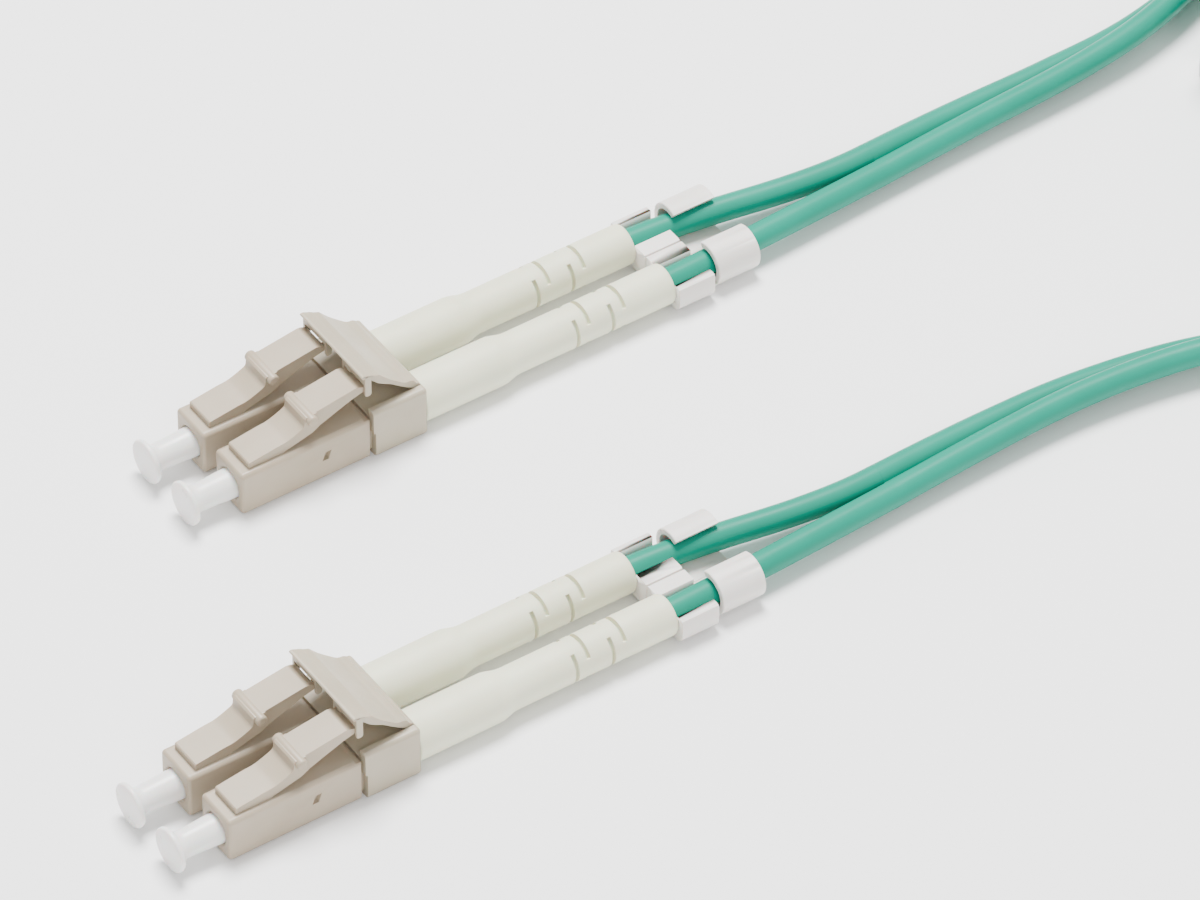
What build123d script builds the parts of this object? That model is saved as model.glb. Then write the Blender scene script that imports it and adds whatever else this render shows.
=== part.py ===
from build123d import *
import math
import os

# Duplex fibre optic patch cord: two push-pull duplex plugs, one on each end of a flat two-fibre
# cord. Millimetres. Z is up, the floor is Z = 0, and both plugs point along -X (their ferrules
# lead) with their latches on top. The origin is on the floor, under the middle of the box that
# holds the two plug ends.
#
# Each plug is drawn in its own frame: x runs back from the front face of the housing, and y = 0,
# z = 0 is the axis of its ferrule. The name of each value below says which piece it sizes.

# ---- the pair of ends ---------------------------------------------------------------------------
PITCH = 6.25                # ferrule to ferrule, the standard duplex spacing
AXIS_HEIGHT = 2.3           # ferrule axis above the floor
END_STEP_X = 23.3           # how far end b lies behind end a
END_STEP_Y = 34.4           # and beside it

# ---- ferrule, hub, spring and fibre -------------------------------------------------------------
FERRULE_D = 1.249
FERRULE_TIP = -2.0
FERRULE_LENGTH = 6.5
TIP_CHAMFER = 0.15
RUNNING = 0.08              # radial clearance where one piece slides in another
HUB_FRONT = 2.8
HUB_LENGTH = 3.0
HUB_D = 2.84
SPIGOT_D = 1.6
SPIGOT_LENGTH = 1.5
FIBRE_D = 0.9
FERRULE_TRAVEL = 0.7
SPRING_LENGTH = 5.0
SPRING_MEAN_R = 1.15
SPRING_WIRE_D = 0.3
SPRING_TURNS = 5

# ---- housing ------------------------------------------------------------------------------------
HOUSING_WIDTH = 4.42
HOUSING_TOP = 2.35
HOUSING_BOTTOM = -2.2
HOUSING_LENGTH = 13.05
HOUSING_EDGE = 0.45
HOUSING_FRONT_EDGE = 0.3
RECESS_D = 2.9              # round mouth that takes the dust cap, and the adapter's sleeve in use
RECESS_DEPTH = 2.2
WINDOW_X = 8.6
WINDOW_Z = 0.4
WINDOW_LENGTH = 0.8
WINDOW_HEIGHT = 1.1
WINDOW_DEPTH = 0.45

# ---- latch --------------------------------------------------------------------------------------
LATCH_HINGE_X = 4.75
LATCH_HINGE_Z = 2.85
LATCH_KNUCKLE_R = 0.4
HINGE_GAP = 0.03
PAD_FRONT = 1.05
PAD_WIDTH = 3.2
PAD_FRONT_Z = 2.9
PAD_REAR_Z = 3.4
ARM_WIDTH = 3.0
ARM_STEP_X = 6.9
ARM_END_X = 13.1
EAR_X = 7.6
EAR_Z = 4.72
EAR_D = 1.05
EAR_SPAN = 4.2
LATCH_TRAVEL = 7.0          # degrees

# ---- backbone, crimp sleeve and boot ------------------------------------------------------------
BACKBONE_SIDE = 3.4
CRIMP_POST_D = 2.2
CRIMP_POST_LENGTH = 4.4
BACKBONE_BORE_D = 1.4
SLEEVE_D = 3.3
SLEEVE_GAP = 0.5
SLEEVE_GRIP = 3.4           # length of cable that the sleeve is crimped on
BOOT_PLAY = 0.08            # round the cable, inside the boot
BOOT_FRONT_D = 4.6
BOOT_REAR_D = 3.88
BOOT_TAPER_X = 27.4
BOOT_TAPER_LENGTH = 1.6
BOOT_END_X = 45.5
BOOT_EDGE = 0.25
SLOT_WIDTH = 0.38
SLOT_DEPTH = 0.5
TOP_SLOTS_X = (36.4, 40.1)
SIDE_SLOTS_X = (35.1, 38.8)
SLOT_HALF_ANGLE = 60.0      # degrees

# ---- duplex clip and trigger --------------------------------------------------------------------
CLIP_FRONT = 13.4
CLIP_LENGTH = 5.6
CLIP_SIDE = 2.38            # outer face of the clip from a plug's axis
CLIP_TOP = 2.95
CLIP_FLOOR_GAP = 0.0        # the clip stands on the floor
CLIP_WALL = 0.85
POCKET_FLOOR = 2.1
REAR_WALL = 0.9
CLIP_EDGE = 0.4
STEP_DEPTH = 0.2
STEP_Z = 0.5
TRIGGER_HINGE_X = 18.45
TRIGGER_HINGE_Z = 2.9
TRIGGER_KNUCKLE_R = 0.33
TRIGGER_TIP_X = 12.4
TRIGGER_FRONT_HALF = 4.95   # half its width at the tip
TRIGGER_TRAVEL = 10.0       # degrees
SIDE_PLAY = 0.05
SADDLE_LENGTH = 0.9
SADDLE_WALL = 0.3
SADDLE_PLAY = 0.1
SADDLE_FOOT_Z = 4.6
SADDLE_CEILING_Z = 6.25

# ---- dust cap -----------------------------------------------------------------------------------
CAP_FRONT = -4.65
CAP_FLANGE_D = 4.15
CAP_FLANGE = 0.5
CAP_COVE = 0.85
CAP_BARREL_D = 2.8
CAP_DEPTH = 1.9             # how far the barrel goes into the housing
CAP_BORE_CLEARANCE = 0.055
CAP_BORE_END = -2.6

# ---- cable holder -------------------------------------------------------------------------------
HOLDER_GAP = 0.05
TROUGH_LENGTH = 3.75
HOLDER_WEB = 0.7
HOOK_LENGTH = 4.4
HOLDER_OUTER = 2.33
HOLDER_CHANNEL_R = 1.5
HOLDER_BOTTOM = -1.95
HOLDER_FLOOR = 0.45
TROUGH_TOP = 0.8
TROUGH_CORNER = 1.1
HOOK_R = 2.05
HOOK_FREE_ANGLE = 30.0      # degrees past the top

# ---- cord ---------------------------------------------------------------------------------------
CABLE_D = 2.4               # each round jacket
CORD_WIDTH = 4.9            # the two jackets and the web that joins them
SPLIT_X = 70.0              # where the legs become one flat cord, in an end's frame
COIL_X = 112.0
COIL_Y = -6.5
COIL_RADIUS = 25.2         # to the middle of its turns
COIL_BOTTOM = 0.35
TURN_PITCH = 2.5            # turns side by side
LAYER_PITCH = 4.95          # turns on top of each other
COIL_EDGE = 0.9
TAIL_ANGLES = (-50.0, 90.0) # where the last turn lies on the floor, outside the others
TIE_ANGLES = (140.0, 220.0)
TIE_WIDTH = 3.0
TIE_THICKNESS = 0.33

# ---- values worked out from the above -----------------------------------------------------------
HUB_REAR = HUB_FRONT + HUB_LENGTH
FERRULE_REAR = FERRULE_TIP + FERRULE_LENGTH
CAVITY_D = HUB_D + 2 * RUNNING
BACKBONE_FRONT = HUB_REAR + SPRING_LENGTH
CLIP_REAR = CLIP_FRONT + CLIP_LENGTH
CLIP_HALF = PITCH / 2 + CLIP_SIDE
CLIP_BOTTOM = CLIP_FLOOR_GAP - AXIS_HEIGHT
POCKET_HALF = CLIP_HALF - CLIP_WALL
POST_REAR = CLIP_REAR + CRIMP_POST_LENGTH
CABLE_START = POST_REAR + 0.2
SLEEVE_REAR = CABLE_START + SLEEVE_GRIP
BOOT_REAR_START = BOOT_TAPER_X + BOOT_TAPER_LENGTH
TROUGH_FRONT = BOOT_END_X + HOLDER_GAP
TROUGH_REAR = TROUGH_FRONT + TROUGH_LENGTH
HOOK_FRONT = TROUGH_REAR + HOLDER_WEB
HOOK_REAR = HOOK_FRONT + HOOK_LENGTH
MIDDLE_X = (CAP_FRONT + HOOK_REAR) / 2
COIL_HALF_WIDTH = TURN_PITCH + CABLE_D / 2
PLUG_SIDES = {"1": -1, "2": 1}
ENDS = {
    "a": Vector(-END_STEP_X / 2 - MIDDLE_X, -END_STEP_Y / 2, AXIS_HEIGHT),
    "b": Vector(END_STEP_X / 2 - MIDDLE_X, END_STEP_Y / 2, AXIS_HEIGHT),
}


# ---- helpers ------------------------------------------------------------------------------------
def rod(radius, x0, x1):
    """A cylinder along X, on the plug's axis."""
    return Pos((x0 + x1) / 2, 0, 0) * Rot(0, 90, 0) * Cylinder(radius, x1 - x0)


def cross_rod(radius, x, z, half_width):
    """A cylinder along Y, such as a hinge knuckle."""
    return Pos(x, 0, z) * Rot(90, 0, 0) * Cylinder(radius, 2 * half_width)


def block(x0, x1, y0, y1, z0, z1):
    """A box between two corners."""
    return Pos((x0 + x1) / 2, (y0 + y1) / 2, (z0 + z1) / 2) * Box(x1 - x0, y1 - y0, z1 - z0)


def slab(profile, half_width):
    """A side view, as (x, z) points, given its width to both sides."""
    face = make_face(Plane.XZ * Polyline(*profile, close=True))
    return extrude(face, amount=half_width, both=True)


def turned(profile):
    """A half section, as (x, radius) points, turned about the plug's axis."""
    face = make_face(Plane.XZ * Polyline(*profile, close=True))
    return revolve(face, Axis.X)


# ---- pieces of one plug -------------------------------------------------------------------------
def dust_cap():
    barrel_r = CAP_BARREL_D / 2
    flange_r = CAP_FLANGE_D / 2
    flange_rear = CAP_FRONT + CAP_FLANGE
    cove = [
        (flange_rear + CAP_COVE * (1 - math.cos(a)), flange_r - (flange_r - barrel_r) * math.sin(a))
        for a in (math.radians(step) for step in (0, 22.5, 45, 67.5, 90))
    ]
    cap = turned(
        [(CAP_FRONT, 0), (CAP_FRONT, flange_r - 0.1), (CAP_FRONT + 0.1, flange_r)]
        + cove
        + [(CAP_DEPTH, barrel_r), (CAP_DEPTH, 0)]
    )
    return cap - rod(FERRULE_D / 2 + CAP_BORE_CLEARANCE, CAP_BORE_END, CAP_DEPTH + 1)


def ferrule():
    r = FERRULE_D / 2
    return turned([
        (FERRULE_TIP, 0),
        (FERRULE_TIP, r - TIP_CHAMFER),
        (FERRULE_TIP + TIP_CHAMFER, r),
        (FERRULE_REAR, r),
        (FERRULE_REAR, 0),
    ])


def ferrule_hub():
    hub = turned([
        (HUB_FRONT, 0),
        (HUB_FRONT, HUB_D / 2 - 0.3),
        (HUB_FRONT + 0.3, HUB_D / 2),
        (HUB_REAR, HUB_D / 2),
        (HUB_REAR, SPIGOT_D / 2),
        (HUB_REAR + SPIGOT_LENGTH, SPIGOT_D / 2),
        (HUB_REAR + SPIGOT_LENGTH, 0),
    ])
    hub -= rod(FERRULE_D / 2, HUB_FRONT - 1, FERRULE_REAR)
    return hub - rod(FIBRE_D / 2, FERRULE_REAR, HUB_REAR + SPIGOT_LENGTH + 1)


def fibre():
    return rod(FIBRE_D / 2, FERRULE_REAR, POST_REAR - FERRULE_TRAVEL)


def ferrule_spring():
    wire_r = SPRING_WIRE_D / 2
    height = SPRING_LENGTH - SPRING_WIRE_D
    start = (HUB_REAR + wire_r, 0, 0)
    path = Helix(height / SPRING_TURNS, height, SPRING_MEAN_R, center=start, direction=(1, 0, 0))
    section = Plane(origin=path @ 0, z_dir=path % 0) * Circle(wire_r)
    return sweep(section, path=path, is_frenet=True)


def housing(side):
    half = HOUSING_WIDTH / 2
    body = block(0, HOUSING_LENGTH, -half, half, HOUSING_BOTTOM, HOUSING_TOP)
    body = fillet(body.edges().filter_by(Axis.X), HOUSING_EDGE)
    body = fillet(body.faces().sort_by(Axis.X)[0].edges(), HOUSING_FRONT_EDGE)
    pad = slab([
        (PAD_FRONT, HOUSING_TOP - HOUSING_EDGE),
        (PAD_FRONT, PAD_FRONT_Z - 0.2),
        (PAD_FRONT + 0.2, PAD_FRONT_Z),
        (LATCH_HINGE_X - 0.9, PAD_REAR_Z),
        (LATCH_HINGE_X, PAD_REAR_Z),
        (LATCH_HINGE_X, HOUSING_TOP - HOUSING_EDGE),
    ], PAD_WIDTH / 2)
    body += pad
    body -= cross_rod(LATCH_KNUCKLE_R + HINGE_GAP, LATCH_HINGE_X, LATCH_HINGE_Z, PAD_WIDTH)
    body -= rod(RECESS_D / 2, -1, RECESS_DEPTH)
    body -= rod(FERRULE_D / 2 + RUNNING, 0, HUB_FRONT)
    body -= rod(CAVITY_D / 2, HUB_FRONT, HOUSING_LENGTH + 1)
    lean = WINDOW_HEIGHT / 4
    window = slab([
        (WINDOW_X - WINDOW_LENGTH / 2 - lean, WINDOW_Z - WINDOW_HEIGHT / 2),
        (WINDOW_X + WINDOW_LENGTH / 2 - lean, WINDOW_Z - WINDOW_HEIGHT / 2),
        (WINDOW_X + WINDOW_LENGTH / 2 + lean, WINDOW_Z + WINDOW_HEIGHT / 2),
        (WINDOW_X - WINDOW_LENGTH / 2 + lean, WINDOW_Z + WINDOW_HEIGHT / 2),
    ], WINDOW_DEPTH)
    return body - Pos(0, side * half, 0) * window


def latch():
    top = PAD_REAR_Z + 0.1
    ramp = slab([
        (LATCH_HINGE_X, LATCH_HINGE_Z - LATCH_KNUCKLE_R),
        (LATCH_HINGE_X, LATCH_HINGE_Z + LATCH_KNUCKLE_R),
        (LATCH_HINGE_X + 0.35, top),
        (ARM_STEP_X - 0.3, 4.1),
        (ARM_STEP_X - 0.1, 4.25),
        (ARM_STEP_X + 0.15, 5.2),
        (EAR_X + 0.2, 5.3),
        (EAR_X + 0.6, 3.45),
        (EAR_X, 3.2),
    ], PAD_WIDTH / 2)
    upper = slab([
        (ARM_STEP_X + 0.15, 5.2),
        (12.2, 5.95),
        (12.45, 5.88),
        (ARM_END_X, 5.6),
        (ARM_END_X, 5.2),
        (11.8, 4.9),
        (EAR_X, 3.2),
        (ARM_STEP_X + 0.15, 4.0),
    ], ARM_WIDTH / 2)
    knuckle = cross_rod(LATCH_KNUCKLE_R, LATCH_HINGE_X, LATCH_HINGE_Z, PAD_WIDTH / 2)
    ears = cross_rod(EAR_D / 2, EAR_X, EAR_Z, EAR_SPAN / 2)
    ears = fillet(ears.edges(), EAR_D / 5)
    return ramp + upper + knuckle + ears


def backbone():
    half = BACKBONE_SIDE / 2
    body = block(HOUSING_LENGTH, CLIP_REAR, -half, half, -half, half)
    body += rod(CAVITY_D / 2, BACKBONE_FRONT, HOUSING_LENGTH)
    body += rod(CRIMP_POST_D / 2, CLIP_REAR, POST_REAR)
    return body - rod(BACKBONE_BORE_D / 2, BACKBONE_FRONT - 1, POST_REAR + 1)


def crimp_sleeve():
    sleeve = rod(SLEEVE_D / 2, CLIP_REAR + SLEEVE_GAP, SLEEVE_REAR)
    sleeve -= rod(CRIMP_POST_D / 2, CLIP_REAR, POST_REAR)
    return sleeve - rod(CABLE_D / 2, POST_REAR, SLEEVE_REAR + 1)


def boot():
    front_r = BOOT_FRONT_D / 2
    rear_r = BOOT_REAR_D / 2
    body = turned([
        (CLIP_REAR, 0),
        (CLIP_REAR, front_r - BOOT_EDGE),
        (CLIP_REAR + BOOT_EDGE, front_r),
        (BOOT_TAPER_X, front_r),
        (BOOT_REAR_START, rear_r),
        (BOOT_END_X - BOOT_EDGE, rear_r),
        (BOOT_END_X, rear_r - BOOT_EDGE),
        (BOOT_END_X, 0),
    ])
    body -= rod(SLEEVE_D / 2, CLIP_REAR - 1, SLEEVE_REAR)
    body -= rod(CABLE_D / 2 + BOOT_PLAY, SLEEVE_REAR, BOOT_END_X + 1)
    reach = 2 * rear_r
    spread = reach * math.tan(math.radians(SLOT_HALF_ANGLE))
    wedge = Polyline((0, 0, 0), (0, -spread, reach), (0, spread, reach), close=True)
    sector = extrude(make_face(wedge), amount=SLOT_WIDTH / 2, both=True, dir=(1, 0, 0))
    floor_rod = rod(rear_r - SLOT_DEPTH, -SLOT_WIDTH, SLOT_WIDTH)
    for slots_x, turns in ((TOP_SLOTS_X, (0, 180)), (SIDE_SLOTS_X, (90, 270))):
        for slot_x in slots_x:
            for turn in turns:
                body -= Pos(slot_x, 0, 0) * Rot(turn, 0, 0) * (sector - floor_rod)
    return body


def cable_holder(side):
    """Open trough, then a hook that comes over the cable from the outer side.
    Drawn for the outer side at +y, and mirrored for the plug whose outer side is -y."""
    inner = -(PITCH / 2 - SIDE_PLAY / 5)
    channel = HOLDER_CHANNEL_R
    trough = block(TROUGH_FRONT, TROUGH_REAR, inner, HOLDER_OUTER, HOLDER_BOTTOM, TROUGH_TOP)
    lower = trough.edges().filter_by(Axis.X).sort_by(Axis.Z)[:2].sort_by(Axis.Y)[-1]
    trough = fillet(lower, TROUGH_CORNER)
    trough = chamfer(trough.edges().filter_by(Axis.X).sort_by(Axis.Z)[-2:], 0.15)
    trough -= rod(channel, TROUGH_FRONT - 1, TROUGH_REAR + 1)
    trough -= block(TROUGH_FRONT - 1, TROUGH_REAR + 1, -channel, channel, 0, TROUGH_TOP + 1)
    floor_top = HOLDER_BOTTOM + HOLDER_FLOOR
    web = block(TROUGH_REAR, HOOK_REAR, inner, TROUGH_CORNER, HOLDER_BOTTOM, floor_top)
    hook = rod(HOOK_R, HOOK_FRONT, HOOK_REAR) - rod(channel, HOOK_FRONT - 1, HOOK_REAR + 1)
    free = math.radians(HOOK_FREE_ANGLE)
    reach = 2 * HOOK_R
    opening = make_face(Polyline(
        (HOOK_FRONT, 0, 0),
        (HOOK_FRONT, -reach * math.sin(free), reach * math.cos(free)),
        (HOOK_FRONT, -reach * 2, reach),
        (HOOK_FRONT, -reach * 2, -reach),
        (HOOK_FRONT, 0, -reach),
        close=True,
    ))
    hook -= extrude(opening, amount=HOOK_LENGTH, dir=(1, 0, 0))
    hook -= block(HOOK_FRONT - 1, HOOK_REAR + 1, -reach, reach, -reach, HOLDER_BOTTOM)
    holder = trough + web + hook
    return holder if side > 0 else mirror(holder, Plane.XZ)


# ---- pieces that both plugs of an end share -----------------------------------------------------
def duplex_clip():
    body = block(CLIP_FRONT, CLIP_REAR, -CLIP_HALF, CLIP_HALF, CLIP_BOTTOM, CLIP_TOP)
    body = fillet(body.edges().filter_by(Axis.X), CLIP_EDGE)
    wall_x = CLIP_REAR - REAR_WALL
    body -= block(CLIP_FRONT - 1, wall_x, -POCKET_HALF, POCKET_HALF, POCKET_FLOOR, CLIP_TOP + 1)
    body -= block(wall_x - 1, CLIP_REAR + 1, -POCKET_HALF, POCKET_HALF, TRIGGER_HINGE_Z, CLIP_TOP + 1)
    body -= cross_rod(TRIGGER_KNUCKLE_R + HINGE_GAP, TRIGGER_HINGE_X, TRIGGER_HINGE_Z, POCKET_HALF)
    half = BACKBONE_SIDE / 2
    for y in (-PITCH / 2, PITCH / 2):
        body -= block(CLIP_FRONT - 1, CLIP_REAR + 1, y - half, y + half, -half, half)
    step_rear = CLIP_FRONT + STEP_DEPTH
    return body - block(CLIP_FRONT - 1, step_rear, -CLIP_HALF, CLIP_HALF, CLIP_BOTTOM, STEP_Z)


def trigger():
    tip = TRIGGER_TIP_X
    root = TRIGGER_HINGE_X
    root_top = TRIGGER_HINGE_Z + TRIGGER_KNUCKLE_R
    plate = slab([
        (root, root_top),
        (root - 1.15, 3.85),
        (root - 2.65, 5.0),
        (root - 3.85, 5.9),
        (tip + 1.25, 6.6),
        (tip + 1.05, 6.5),
        (tip + 0.5, 6.95),
        (tip, 6.75),
        (tip, SADDLE_CEILING_Z),
        (tip + 0.3, 6.0),
        (tip + 1.2, 5.85),
        (root - 3.85, 5.15),
        (root - 2.65, 4.25),
        (root - 1.15, 3.35),
        (root - 0.55, 3.1),
        (root, TRIGGER_HINGE_Z),
    ], CLIP_HALF)
    rear_half = POCKET_HALF - SIDE_PLAY
    front_half = TRIGGER_FRONT_HALF
    plan = make_face(Polyline(
        (tip - 1, front_half),
        (tip, front_half),
        (root, rear_half),
        (root + 1, rear_half),
        (root + 1, -rear_half),
        (root, -rear_half),
        (tip, -front_half),
        (tip - 1, -front_half),
        close=True,
    ))
    plate &= extrude(plan, amount=PITCH * 2)
    knuckle = cross_rod(TRIGGER_KNUCKLE_R, root, TRIGGER_HINGE_Z, rear_half)
    lever = plate + knuckle
    opening = ARM_WIDTH / 2 + SADDLE_PLAY
    outer = opening + SADDLE_WALL
    front = tip + 0.05
    rear = front + SADDLE_LENGTH
    for y in (-PITCH / 2, PITCH / 2):
        lever += block(front, rear, y - outer, y + outer, SADDLE_FOOT_Z, SADDLE_CEILING_Z + 0.2)
        lever -= block(
            tip - 1, rear + 0.4, y - opening, y + opening, SADDLE_FOOT_Z - 1, SADDLE_CEILING_Z
        )
    return lever


# ---- cord ---------------------------------------------------------------------------------------
def cord_radii(points):
    """The largest arc that the two runs beside each corner leave room for."""
    radii = []
    for before, corner, after in zip(points, points[1:], points[2:]):
        run_in = Vector(*corner) - Vector(*before)
        run_out = Vector(*after) - Vector(*corner)
        turn = math.radians(run_in.get_angle(run_out))
        shorter = min(run_in.length, run_out.length)
        radii.append(0.45 * shorter / math.tan(turn / 2))
    return radii


def cord_path(points, name):
    radii = cord_radii(points)
    path = FilletPolyline(*points, radius=radii)
    print(f"{name}: length {path.length:.1f}, radii", [round(r, 1) for r in radii])
    return path


def round_cable(points, name):
    path = cord_path(points, name)
    section = Plane(origin=path @ 0, z_dir=path % 0) * Circle(CABLE_D / 2)
    cable = sweep(section, path=path)
    print(f"{name}: volume over section times length {cable.volume / section.area / path.length:.4f}")
    return cable


def flat_cord(points, name):
    path = cord_path(points, name)
    heading = path % 0
    across = Vector(0, 0, 1).cross(heading)
    section = Plane(origin=path @ 0, x_dir=across, z_dir=heading) * SlotOverall(CORD_WIDTH, CABLE_D)
    cord = sweep(section, path=path)
    print(f"{name}: volume over section times length {cord.volume / section.area / path.length:.4f}")
    return cord


# The legs run straight through boot and holder, then lean together and down to the split.
LEG_ROUTES = {
    "1": [
        (CABLE_START, -PITCH / 2, 0),
        (50.5, -PITCH / 2, 0),
        (SPLIT_X + 0.085, -1.793, -0.2),
    ],
    "2": [
        (CABLE_START, PITCH / 2, 0),
        (49.5, PITCH / 2, 0),
        (SPLIT_X - 5.0, 0.365, -0.15),
        (SPLIT_X - 0.085, 0.701, -0.2),
    ],
}

# The flat cord from each split to the coil. The first run carries on the way the legs point.
CORD_ROUTES = {
    "a": [
        (33.475, -17.746, 2.1),
        (42.5, -17.13, 2.01),
        (56.0, -17.0, 1.9),
        (69.5, -19.6, 2.0),
        (83.0, -27.2, 2.3),
        (97.0, -33.4, 2.7),
        (COIL_X, COIL_Y - COIL_RADIUS - TURN_PITCH, 2.85),
    ],
    "b": [
        (56.775, 16.654, 2.1),
        (65.8, 17.27, 2.01),
        (77.0, 17.5, 1.9),
        (88.0, 18.3, 2.1),
        (99.0, 22.0, 2.6),
        (COIL_X, COIL_Y + COIL_RADIUS + TURN_PITCH * 1.6, 2.85),
    ],
}


def coil():
    """Outer shape of the coil: two layers that each wind over two turns, and the last part of a
    turn, which comes down outside them."""
    section = Pos(COIL_RADIUS, COIL_BOTTOM + LAYER_PITCH) * RectangleRounded(
        2 * COIL_HALF_WIDTH, 2 * LAYER_PITCH, COIL_EDGE
    )
    ring = revolve(Plane.XZ * section, Axis.Z)
    tail_section = Pos(COIL_RADIUS + COIL_HALF_WIDTH, COIL_BOTTOM + LAYER_PITCH / 2) * Rectangle(
        2 * TURN_PITCH, LAYER_PITCH
    )
    start, end = TAIL_ANGLES
    tail = Rot(0, 0, start) * revolve(Plane.XZ * tail_section, Axis.Z, revolution_arc=end - start)
    return Pos(COIL_X, COIL_Y, 0) * (ring + tail)


def coil_tie(angle):
    """A flat tie that goes once round the bundle."""
    section = Pos(COIL_RADIUS, COIL_BOTTOM + LAYER_PITCH) * (
        RectangleRounded(
            2 * (COIL_HALF_WIDTH + TIE_THICKNESS),
            2 * (LAYER_PITCH + TIE_THICKNESS),
            COIL_EDGE + TIE_THICKNESS,
        )
        - RectangleRounded(2 * COIL_HALF_WIDTH, 2 * LAYER_PITCH, COIL_EDGE)
    )
    sweep_angle = math.degrees(TIE_WIDTH / COIL_RADIUS)
    band = revolve(Plane.XZ * section, Axis.Z, revolution_arc=sweep_angle)
    return Pos(COIL_X, COIL_Y, 0) * Rot(0, 0, angle - sweep_angle / 2) * band


# ---- every node ---------------------------------------------------------------------------------
def plug_pieces(side):
    return {
        "dust_cap": dust_cap(),
        "ferrule": ferrule(),
        "ferrule_hub": ferrule_hub(),
        "fibre": fibre(),
        "ferrule_spring": ferrule_spring(),
        "housing": housing(side),
        "latch": latch(),
        "backbone": backbone(),
        "crimp_sleeve": crimp_sleeve(),
        "boot": boot(),
        "cable_holder": cable_holder(side),
    }


def all_nodes():
    nodes = {}
    pair = {"duplex_clip": duplex_clip(), "trigger": trigger()}
    plugs = {plug: plug_pieces(side) for plug, side in PLUG_SIDES.items()}
    for end, place in ENDS.items():
        for piece, shape in pair.items():
            nodes[f"{piece}_{end}"] = Pos(place) * shape
        for plug, side in PLUG_SIDES.items():
            for piece, shape in plugs[plug].items():
                nodes[f"{piece}_{end}{plug}"] = Pos(place) * Pos(0, side * PITCH / 2, 0) * shape
            leg = round_cable(LEG_ROUTES[plug], f"cable_leg_{end}{plug}")
            nodes[f"cable_leg_{end}{plug}"] = Pos(place) * leg
        nodes[f"flat_cord_{end}"] = flat_cord(CORD_ROUTES[end], f"flat_cord_{end}")
    nodes["coil"] = coil()
    for number, angle in enumerate(TIE_ANGLES, start=1):
        nodes[f"coil_tie_{number}"] = coil_tie(angle)
    return nodes


os.makedirs("parts", exist_ok=True)
for name, shape in all_nodes().items():
    export_step(shape, f"parts/{name}.step")
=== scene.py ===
# %% [markdown]
# # A duplex fibre patch cord
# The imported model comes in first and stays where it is. Everything after it is the surface that
# the eye sees: moulded plugs, soft boots, and one flat cord wound into a coil. The plugs' places
# come from the model's own boxes. Profiles and the cord's route repeat its sizes in millimetres.
# Points nearer than DOUBLED count as one point, and heights nearer than LEVEL as one height.

# %% Load the frame
import math

import bpy
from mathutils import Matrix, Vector


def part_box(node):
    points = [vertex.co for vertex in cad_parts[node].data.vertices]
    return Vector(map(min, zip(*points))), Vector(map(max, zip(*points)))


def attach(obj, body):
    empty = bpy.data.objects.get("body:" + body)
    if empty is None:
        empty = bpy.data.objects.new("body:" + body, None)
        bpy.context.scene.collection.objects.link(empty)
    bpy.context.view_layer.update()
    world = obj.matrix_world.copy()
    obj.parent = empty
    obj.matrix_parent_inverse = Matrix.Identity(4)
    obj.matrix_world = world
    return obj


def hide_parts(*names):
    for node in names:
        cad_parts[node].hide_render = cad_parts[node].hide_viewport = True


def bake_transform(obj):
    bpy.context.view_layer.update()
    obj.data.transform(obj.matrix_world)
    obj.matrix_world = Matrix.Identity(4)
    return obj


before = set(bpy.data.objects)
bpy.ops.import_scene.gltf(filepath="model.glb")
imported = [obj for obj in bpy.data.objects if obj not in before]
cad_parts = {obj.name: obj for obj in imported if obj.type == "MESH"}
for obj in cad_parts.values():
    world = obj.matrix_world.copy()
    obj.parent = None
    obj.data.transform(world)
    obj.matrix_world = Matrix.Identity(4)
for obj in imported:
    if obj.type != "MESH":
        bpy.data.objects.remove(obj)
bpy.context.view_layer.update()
MM = 0.001
DOUBLED = 0.0005 * MM
LEVEL = 1e-7


# %% [markdown]
# An operator acts on whatever is selected, and an import leaves its objects selected. So the
# first helper clears the selection and picks one object. The second applies an object's place,
# turn and scale to its mesh, which is how every finished piece is left. The third cleans a mesh
# after a cut or a spin has left doubled points in it.

# %% Selection helpers
def only(piece):
    if bpy.context.object and bpy.context.object.mode != "OBJECT":
        bpy.ops.object.mode_set(mode="OBJECT")
    bpy.ops.object.select_all(action="DESELECT")
    piece.select_set(True)
    bpy.context.view_layer.objects.active = piece


def settle(piece, name=None):
    only(piece)
    bpy.ops.object.transform_apply(location=True, rotation=True, scale=True)
    if name:
        piece.name = name
        piece.data.name = name
    return piece


def tidy_mesh(piece):
    """Merges doubled points and turns every face outwards."""
    only(piece)
    bpy.ops.object.mode_set(mode="EDIT")
    bpy.ops.mesh.select_all(action="SELECT")
    bpy.ops.mesh.remove_doubles(threshold=DOUBLED)
    bpy.ops.mesh.normals_make_consistent(inside=False)
    bpy.ops.object.mode_set(mode="OBJECT")
    return piece


bpy.ops.object.select_all(action="DESELECT")


# %% [markdown]
# The camera looks down at the plugs from in front and to the left of their latches, through a
# long lens, so the two ends look almost the same size. Its place is worked out from two angles
# and a distance, and it aims at a point between the two ends.

# %% Camera
END_NAMES = ("a", "b")
PLUG_SIDES = {"1": -1, "2": 1}
HALF_PITCH = 3.125
CAMERA_AZIMUTH, CAMERA_ELEVATION = math.radians(-34.1), math.radians(43.55)
CAMERA_DISTANCE = 865 * MM
AIM_OFFSET = Vector((28.8, -14.5, 0)) * MM


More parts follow.
